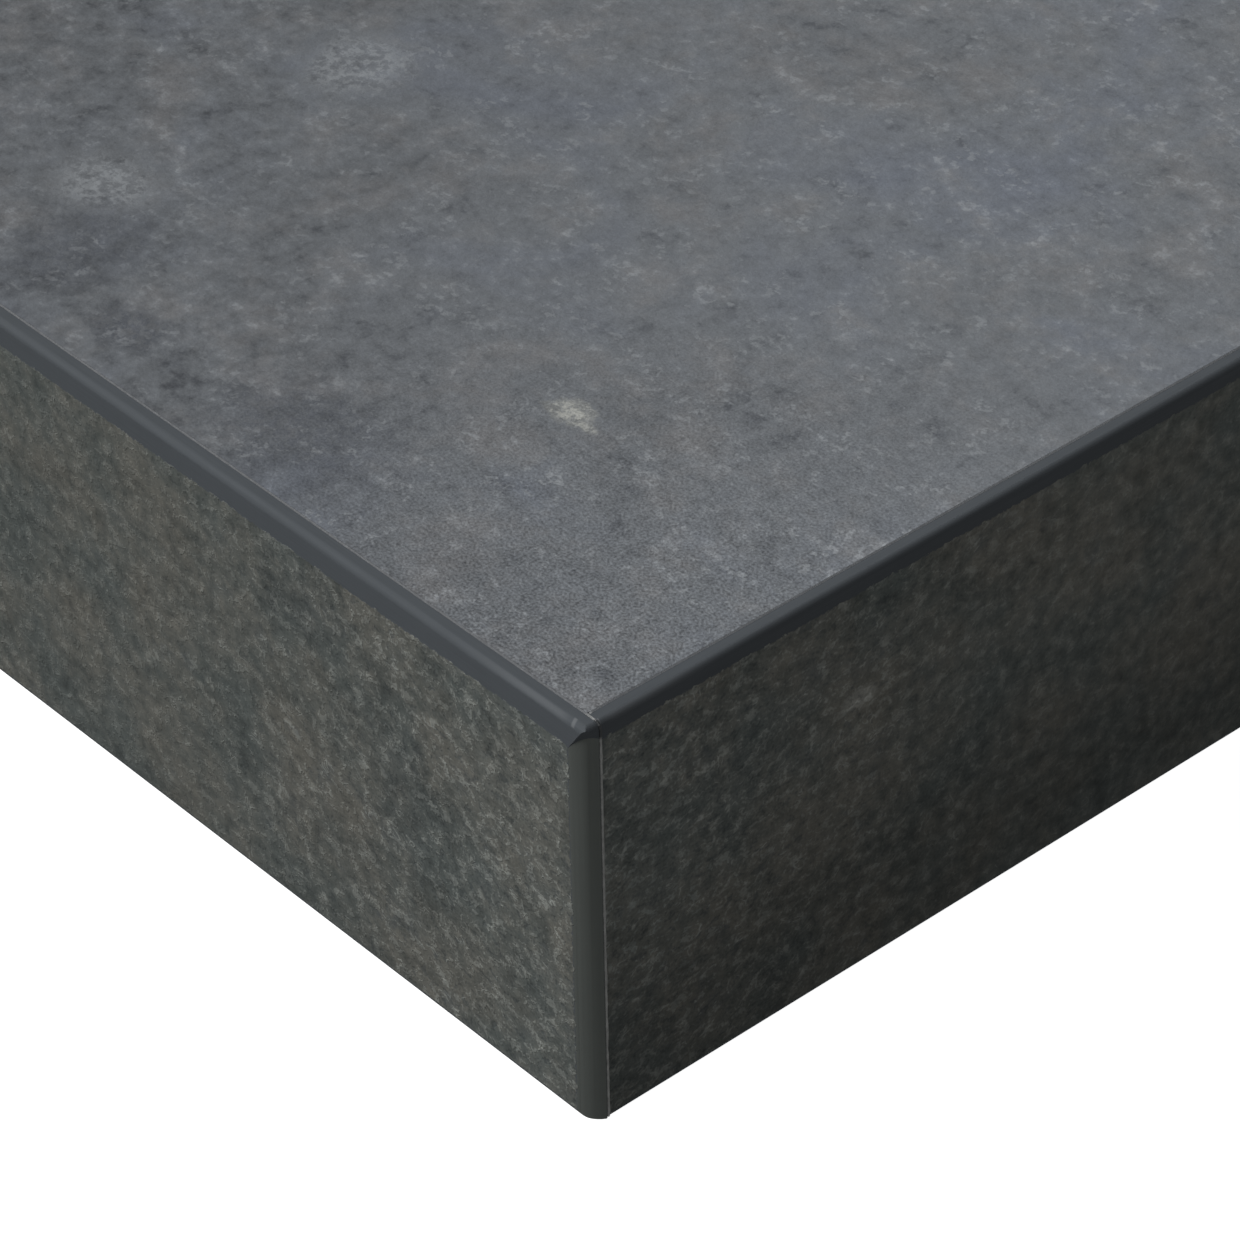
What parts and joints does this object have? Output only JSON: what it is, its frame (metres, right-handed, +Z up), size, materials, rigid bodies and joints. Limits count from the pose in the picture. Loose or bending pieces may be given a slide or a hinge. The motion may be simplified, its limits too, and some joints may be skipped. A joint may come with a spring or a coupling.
{
  "type": "laminate worktop board",
  "caption": "Slate-effect laminate-faced chipboard worktop board, edged on all sides with scraped plastic edge bands over glue lines.",
  "frame": {"origin": "middle of the underside", "axes": "+X along the length to the right end, +Y from the front edge to the back edge, +Z up out of the laminated top"},
  "size_m": [1.2, 0.6, 0.038],
  "materials": {
    "chipboard": "pressed wood chips, matt",
    "slate_laminate": "printed slate decor, satin, fine grain",
    "backing_laminate": "plain balancing laminate, sanded matt",
    "sheet_glue": "cured wood glue",
    "edge_plastic": "through-dyed edge band, printed and embossed slate decor, scraped satin arris",
    "hot_melt_glue": "hot-melt glue, satin"
  },
  "bodies": {
    "root": {"core_board": "chipboard", "top_laminate": "slate_laminate", "backing_sheet": "backing_laminate", "top_glue_film": "sheet_glue", "backing_glue_film": "sheet_glue", "front_edge_band": "edge_plastic", "back_edge_band": "edge_plastic", "right_end_band": "edge_plastic", "left_end_band": "edge_plastic", "front_glue_line": "hot_melt_glue", "back_glue_line": "hot_melt_glue", "right_glue_line": "hot_melt_glue", "left_glue_line": "hot_melt_glue"}
  },
  "joints": []
}
